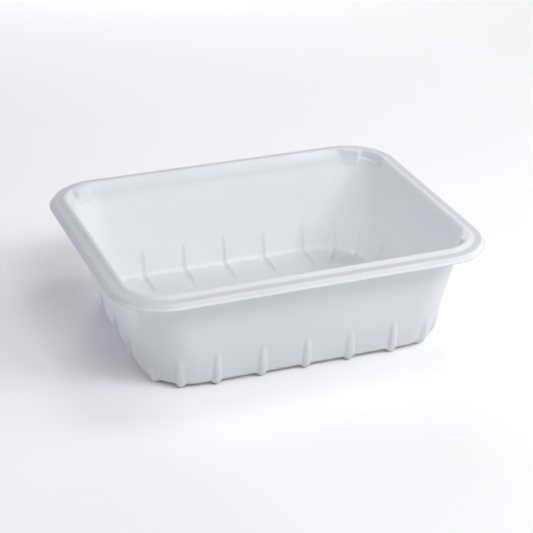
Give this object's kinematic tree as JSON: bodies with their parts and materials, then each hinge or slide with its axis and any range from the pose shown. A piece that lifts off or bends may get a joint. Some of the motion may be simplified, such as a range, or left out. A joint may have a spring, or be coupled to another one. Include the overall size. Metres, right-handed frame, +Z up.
{
  "type": "rectangular food tray",
  "caption": "Deep rectangular thermoformed food tray with rounded corners, a beaded sealing flange and ribs that turn under the floor as feet.",
  "frame": {"origin": "under the middle of the tray, on the plane that its feet stand on", "axes": "+Z up, +X along the long side, +Y along the short side"},
  "size_m": [0.227, 0.178, 0.067],
  "materials": {
    "tray": "satin"
  },
  "bodies": {
    "root": {"tray": "tray"}
  },
  "joints": []
}
